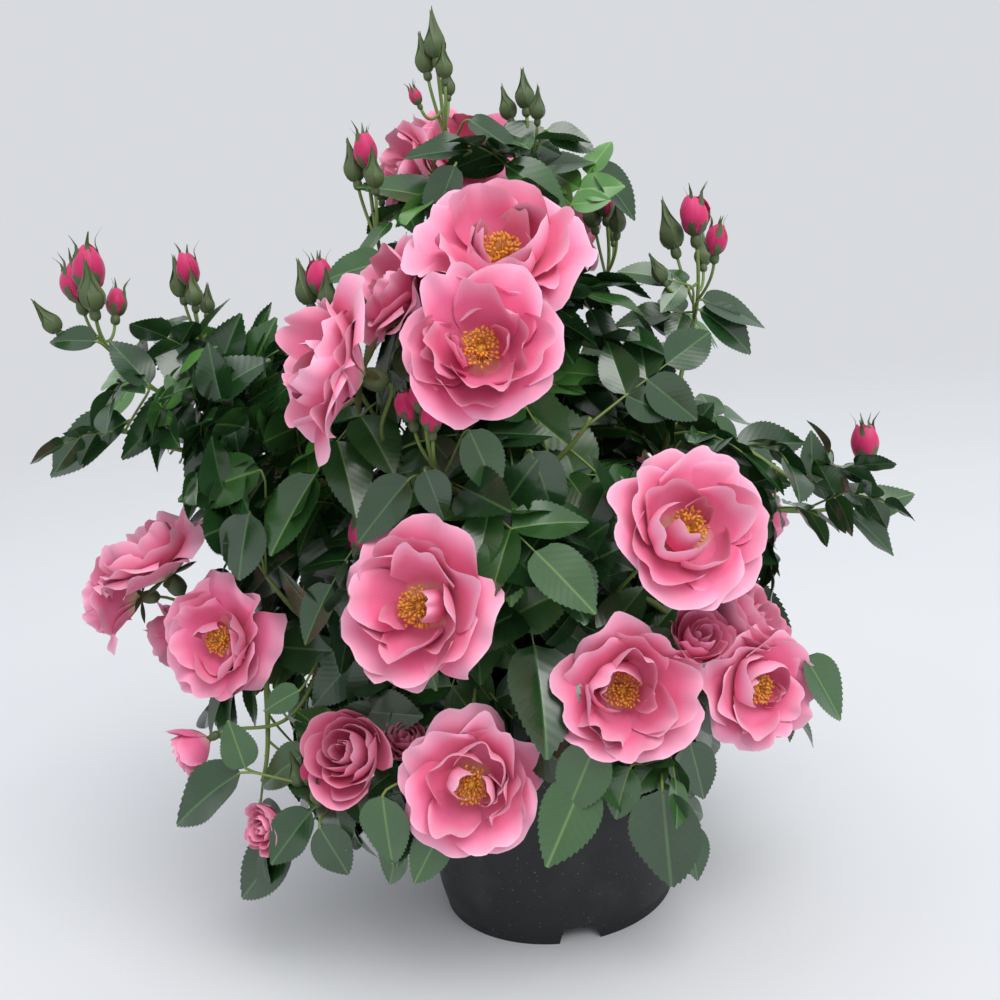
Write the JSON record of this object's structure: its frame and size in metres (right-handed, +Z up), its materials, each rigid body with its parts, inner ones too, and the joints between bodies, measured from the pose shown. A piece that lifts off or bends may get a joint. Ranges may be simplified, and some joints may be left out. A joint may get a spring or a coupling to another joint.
{
  "type": "rose bush",
  "caption": "Bushy rose with open pink flowers and deep pink buds over dark green leaves, growing in a round black nursery pot.",
  "frame": {"origin": "middle of the flat underside of the pot, level with the surface that it stands on", "axes": "+Z up along the pot's axis, -Y towards the front of the plant, +X to its right"},
  "size_m": [0.5481, 0.3641, 0.5817],
  "materials": {
    "pot_plastic": "charcoal black moulded plastic with fine dust and scratches",
    "compost": "damp dark brown crumbs with bits of bark",
    "bark": "olive green young bark with fine ridges and prickles",
    "leaf": "glossy dark green with a paler midrib",
    "petal": "satin pink, paler at the rim and yellow-white at the base",
    "bud": "satin deep pink in green sepals"
  },
  "bodies": {
    "root": {"pot": "pot_plastic", "compost": "compost", "rootstock": "bark", "bough_top": "bark", "bough_upper_front": "bark", "bough_upper_left": "bark", "bough_left_high": "bark", "bough_left_low": "bark", "bough_front_low": "bark", "bough_front_middle": "bark", "bough_right_front": "bark", "bough_right_high": "bark", "bough_back_top": "bark", "bough_back_left": "bark", "bough_back_right": "bark", "bough_back_low": "bark", "foliage_top": "leaf", "foliage_upper_front": "leaf", "foliage_upper_left": "leaf", "foliage_left_high": "leaf", "foliage_left_low": "leaf", "foliage_front_low": "leaf", "foliage_front_middle": "leaf", "foliage_right_front": "leaf", "foliage_right_high": "leaf", "foliage_back_top": "leaf", "foliage_back_left": "leaf", "foliage_back_right": "leaf", "foliage_back_low": "leaf", "flowers_top_1": "bud", "flowers_top_2": "petal", "flowers_top_3": "bud", "flowers_upper_front_1": "petal", "flowers_upper_front_2": "bud", "flowers_upper_left_1": "petal", "flowers_upper_left_2": "bud", "flowers_upper_left_3": "bud", "flowers_left_high_1": "bud", "flowers_left_high_2": "bud", "flowers_left_low_1": "petal", "flowers_left_low_2": "petal", "flowers_left_low_3": "petal", "flowers_front_low_1": "petal", "flowers_front_low_2": "petal", "flowers_front_low_3": "petal", "flowers_front_middle_1": "petal", "flowers_front_middle_2": "bud", "flowers_right_front_1": "petal", "flowers_right_front_2": "petal", "flowers_right_front_3": "petal", "flowers_right_high_1": "bud", "flowers_right_high_2": "bud", "flowers_back_top_1": "petal", "flowers_back_top_2": "bud", "flowers_back_left_1": "petal", "flowers_back_left_2": "bud", "flowers_back_right_1": "petal", "flowers_back_right_2": "petal", "flowers_back_low_1": "petal", "flowers_back_low_2": "petal"}
  },
  "joints": []
}
